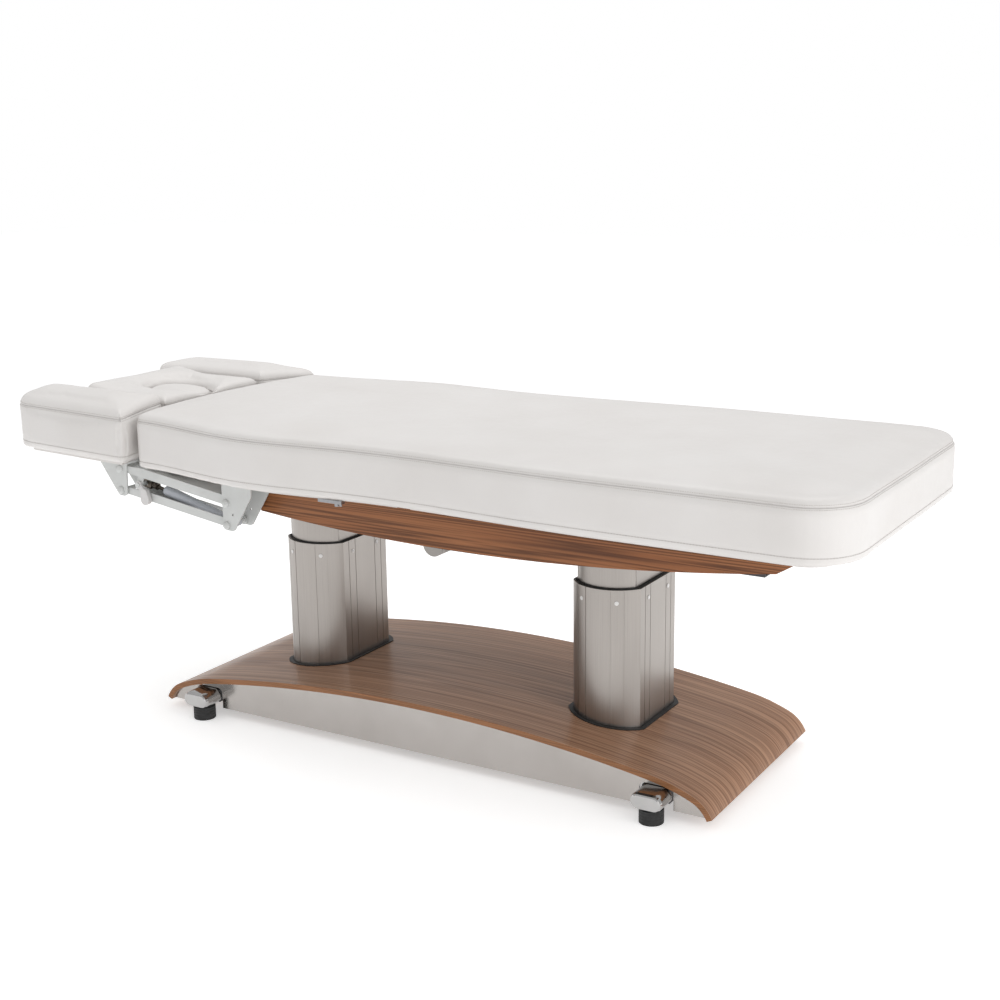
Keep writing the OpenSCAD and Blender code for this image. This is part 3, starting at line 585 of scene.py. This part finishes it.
def cushion(name, nodes, *, hole=None, corner=0.008, voxel=0.006, top=0.704, seam=0.690,
            top_r=0.016, bottom_r=0.010, crown=0.012, crown_w=0.10, swell=0.005, tuck=0.003,
            relief=None, hem=0.016, seed=1, pucker=0.0006):
    """A sewn cushion in the place of soft CAD nodes: crowned, rounded, swollen, drawn in at its seam."""
    boxes = [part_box(node) for node in nodes]
    bottom = min(low.z for low, _ in boxes)
    loops = [soften(rim_of(nodes) if hole is None else outer_rim(nodes, hole), corner)]
    if hole is not None:
        loops.append(soften(rim_of(nodes, inner=hole), 0.003))
    edge = Edge(loops)
    shrunk = [loop - outward(loop, i > 0) * tuck for i, loop in enumerate(loops)]
    obj = prism(name, shrunk, bottom + BASE_GAP, top)
    remesh(obj, voxel)
    inner_edge = Edge(shrunk)
    co = round_edges(points_of(obj), inner_edge, top, bottom + BASE_GAP, top_r, bottom_r)
    inside, _, _ = inner_edge.at(co)
    rise = crown * np.sin(math.pi / 2 * np.clip(inside / crown_w, 0, 1))
    if relief is not None:
        rise += relief(co)
    share = ease((co[:, 2] - (seam - RISE_BELOW_SEAM)) / (top - seam + RISE_BELOW_SEAM))
    co[:, 2] += rise * share
    move_points(obj, co)
    inflate(obj, swell, bottom + FLAT_BAND)
    modifier = obj.modifiers.new("Subdivision", "SUBSURF")
    modifier.levels = modifier.render_levels = 1
    keep_modifiers(obj)

    co = points_of(obj)
    inside, out, index = edge.at(co)
    normal = normals_of(obj)
    along = index * LOOP_STEP
    local_rise = np.zeros(len(co)) if relief is None else relief(co) * SEAM_FOLLOWS
    from_seam = co[:, 2] - seam - local_rise
    deep = inside > top_r * 1.4
    from_seam = np.where(deep & (from_seam > -0.01), np.abs(from_seam) + inside, from_seam)
    tight = np.clip(edge.turn[index] * 0.03, 0, 1.6)
    wobble = smooth_noise(along, 0.011, seed) * (0.35 + tight) + 0.5 * smooth_noise(along, 0.05, seed + 1)
    at_seam = np.exp(-(from_seam / SEAM_WIDTH) ** 2)
    around_seam = np.exp(-(from_seam / PUCKER_WIDTH) ** 2)
    side = ~deep & (co[:, 2] > bottom + FLAT_BAND)
    push = -SEAM_DEPTH * at_seam + pucker * wobble * around_seam
    from_hem = co[:, 2] - bottom - hem
    push -= HEM_DEPTH * np.exp(-(from_hem / HEM_WIDTH) ** 2)
    low_down = ease(1 - np.abs(co[:, 2] - bottom) / SLACK_HEIGHT)
    push += SLACK * smooth_noise(along, SLACK_WAVE, seed + 2) * low_down
    co += normal * (push * side)[:, None]
    move_points(obj, co)
    add_attribute(obj, "seam", from_seam)
    add_attribute(obj, "hem", np.where(deep, 1.0, from_hem))
    obj.data.materials.append(materials["white_leather"])
    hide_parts(*nodes)
    return obj, loops, (seam, bottom + hem, relief)


def outer_rim(nodes, hole):
    """The outside outline of nodes that have an oval hole, given as its centre and half sizes."""
    everything = rim_of(nodes)
    away = np.linalg.norm((everything - np.array(hole[:2])) / np.array(hole[2:]), axis=1)
    return everything[away >= 1]


def stitches(name, obj, loop, height, pitch=0.0045, length=0.0030, radius=0.0007):
    """A row of thread stitches laid on the cushion's side. height is a function of the point."""
    corners = [v.co.copy() for v in obj.data.vertices]
    tree = BVHTree.FromPolygons(corners, [p.vertices[:] for p in obj.data.polygons])
    places = resample(loop, pitch)
    normals = outward(places)
    vertices, faces = [], []
    for p, n in zip(places, normals):
        z = height(p)
        outside = Vector((p[0] + n[0] * RAY_START, p[1] + n[1] * RAY_START, z))
        hit, face_normal, _, _ = tree.ray_cast(outside, Vector((-n[0], -n[1], 0)), 2 * RAY_START)
        if hit is None:
            continue
        along = Vector((-n[1], n[0], 0))
        up = face_normal.cross(along).normalized()
        start = len(vertices)
        for t, r in STITCH_RINGS:
            for k in range(STITCH_SIDES):
                a = 2 * math.pi * k / STITCH_SIDES
                v = hit + along * t * length + up * (math.cos(a) * r * radius)
                v += face_normal * ((math.sin(a) * r + 0.25) * radius)
                vertices.append(v)
        last = start + (len(STITCH_RINGS) - 1) * STITCH_SIDES
        for ring in range(start, last, STITCH_SIDES):
            for k in range(STITCH_SIDES):
                a, b = ring + k, ring + (k + 1) % STITCH_SIDES
                faces.append((a, b, b + STITCH_SIDES, a + STITCH_SIDES))
        faces.append(tuple(start + k for k in reversed(range(STITCH_SIDES))))
        faces.append(tuple(last + k for k in range(STITCH_SIDES)))
    row = new_object(name, vertices, faces)
    row.data.materials.append(thread_material)
    return row


def sew(obj, loops, lines):
    """The rows of stitches of a cushion: one on each side of its seam, and one along its hem."""
    seam, hem, relief = lines

    def lifted(offset):
        def height(p):
            local = 0.0
            if relief is not None:
                local = float(relief(np.array([[p[0], p[1], seam]]))[0]) * SEAM_FOLLOWS
            return seam + offset + local
        return height

    outline = loops[0]
    return [stitches(obj.name + "_stitch_low", obj, outline, lifted(-STITCH_BELOW)),
            stitches(obj.name + "_stitch_high", obj, outline, lifted(STITCH_ABOVE)),
            stitches(obj.name + "_hem_stitch", obj, outline, lambda p: hem, pitch=0.006, length=0.004)]


MATTRESS = ("mattress_back", "mattress_fold", "mattress_leg")
mattress_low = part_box("mattress_back")[0]


def mattress_relief(co):
    """The mattress is a little higher at its head end, and sinks slightly along its middle."""
    head = 1 - ease((co[:, 0] - mattress_low.x) / 0.35)
    middle = np.exp(-(co[:, 1] / 0.22) ** 2)
    return 0.0035 * head - 0.002 * middle


mattress, mattress_loops, mattress_lines = cushion(
    "mattress", MATTRESS, corner=0.013, voxel=0.010, top=0.7025, seam=0.690, top_r=0.020,
    bottom_r=0.008, crown=0.009, crown_w=0.15, swell=0.005, relief=mattress_relief, seed=3)
mattress_rows = sew(mattress, mattress_loops, mattress_lines)
for piece in [mattress, *mattress_rows]:
    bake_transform(piece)
arm_inner_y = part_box("arm_cushion_far")[0].y
arm_outer_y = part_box("arm_cushion_far")[1].y


def arm_relief(co):
    """An arm cushion is higher along its inner side, next to the head cushion."""
    from_inner = (np.abs(co[:, 1]) - arm_inner_y) / (arm_outer_y - arm_inner_y)
    return 0.012 * (1 - ease(from_inner))


for side in ("near", "far"):
    arm, arm_loops, arm_lines = cushion(
        f"arm_pad_{side}", (f"arm_cushion_{side}",), corner=0.007, voxel=0.005, top=0.711, seam=0.697,
        top_r=0.019, bottom_r=0.008, crown=0.016, crown_w=0.088, swell=0.004, relief=arm_relief,
        seed=11, pucker=0.0013)
    for piece in [arm, *sew(arm, arm_loops, arm_lines)]:
        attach(piece, f"arm_{side}")

plug_low, plug_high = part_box("face_plug")
plug_middle = (plug_low + plug_high) / 2
plug_half = (plug_high - plug_low) / 2
head_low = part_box("head_cushion")[0]


def head_relief(co):
    """The head cushion is dished round the face plug and highest along its head end."""
    towards_head = 1 - ease((co[:, 0] - head_low.x) / 0.12)
    from_plug = np.hypot((co[:, 0] - plug_middle.x) / plug_half.x, (co[:, 1] - plug_middle.y) / plug_half.y)
    dish = np.exp(-(np.clip(from_plug - 1, 0, None) / 0.45) ** 2)
    return 0.014 * towards_head - 0.005 * dish + 0.008


hole = (plug_middle.x, plug_middle.y, plug_half.x * 1.08, plug_half.y * 1.08)
head, head_loops, head_lines = cushion(
    "head_pad", ("head_cushion",), hole=hole, corner=0.006, voxel=0.0045, top=0.7035, seam=0.692,
    top_r=0.014, bottom_r=0.008, crown=0.010, crown_w=0.06, swell=0.004, relief=head_relief,
    seed=21, pucker=0.0009)
for piece in [head, *sew(head, head_loops, head_lines)]:
    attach(piece, "head_rest")

plug, plug_loops, plug_lines = cushion(
    "face_plug_pad", ("face_plug",), corner=0.004, voxel=0.004, top=0.7, seam=0.690,
    top_r=0.014, bottom_r=0.008, crown=0.012, crown_w=0.06, swell=0.003, seed=31, pucker=0.0006)
for piece in [plug, *sew(plug, plug_loops, plug_lines)]:
    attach(piece, "plug")


# ---------- camera, floor and light ----------

def aim(position, yaw, pitch, roll):
    """A camera's matrix, from its place and its angles in degrees. A yaw of 0 looks along +Y."""
    yaw, pitch, roll = (math.radians(a) for a in (yaw, pitch, roll))
    forward = Vector((-math.sin(yaw) * math.cos(pitch), math.cos(yaw) * math.cos(pitch), math.sin(pitch)))
    right = Vector((math.cos(yaw), math.sin(yaw), 0))
    up = right.cross(forward)
    right, up = (math.cos(roll) * right + math.sin(roll) * up, math.cos(roll) * up - math.sin(roll) * right)
    turn = Matrix((right, up, -forward)).transposed().to_4x4()
    return Matrix.Translation(position) @ turn


camera_data = bpy.data.cameras.new("camera")
camera_data.sensor_width = 36
camera_data.lens = 55.52
camera_data.shift_x = -0.0448
camera_data.shift_y = 0.0012
camera = bpy.data.objects.new("camera", camera_data)
camera.matrix_world = aim(Vector((1.8111, -2.7749, 1.3221)), yaw=29.683, pitch=-13.7707, roll=-0.4024)
bpy.context.scene.collection.objects.link(camera)
bpy.context.scene.camera = camera


def floor():
    n = Nodes("pale_floor")
    n.colour(n.ramp(n.noise((2, 2, 2), detail=2), (0.3, (0.92, 0.92, 0.92)), (0.7, (0.94, 0.94, 0.94))))
    n.set(Roughness=0.85, Specular_IOR_Level=0.1)
    n.set(Emission_Color=(1.0, 1.0, 1.0), Emission_Strength=0.42)
    size = 14
    obj = new_object("floor", [(-size, -size, 0), (size, -size, 0), (size, size, 0), (-size, size, 0)],
                     [(0, 1, 2, 3)], smooth=False)
    obj.data.materials.append(n.material)


def softbox(name, position, target, size, power):
    data = bpy.data.lights.new(name, "AREA")
    data.shape = "RECTANGLE"
    data.size, data.size_y = size
    data.energy = power
    obj = bpy.data.objects.new(name, data)
    obj.location = position
    obj.rotation_euler = (Vector(target) - Vector(position)).to_track_quat("-Z", "Y").to_euler()
    bpy.context.scene.collection.objects.link(obj)


floor()
middle = (0, 0, 0.4)
softbox("top_light", (-0.3, 0.6, 3.4), middle, size=(3.4, 2.4), power=46)
softbox("left_light", (-3.4, -1.2, 2.0), middle, size=(2.0, 2.0), power=5)
softbox("right_light", (3.6, -1.0, 1.4), middle, size=(2.2, 1.6), power=29)
world = bpy.data.worlds.new("studio")
world.use_nodes = True
# The world looks plain white from every side, but gives less light than that.
WORLD_LIGHT = 0.65
world_tree = world.node_tree
background = world_tree.nodes["Background"]
background.inputs["Color"].default_value = (1.0, 1.0, 1.0, 1)
strength = world_tree.nodes.new("ShaderNodeMapRange")
strength.inputs["To Min"].default_value = WORLD_LIGHT
strength.inputs["To Max"].default_value = 1.0
seen = world_tree.nodes.new("ShaderNodeLightPath").outputs["Is Camera Ray"]
world_tree.links.new(seen, strength.inputs["Value"])
world_tree.links.new(strength.outputs["Result"], background.inputs["Strength"])
bpy.context.scene.world = world
bpy.context.scene.view_settings.view_transform = "Standard"
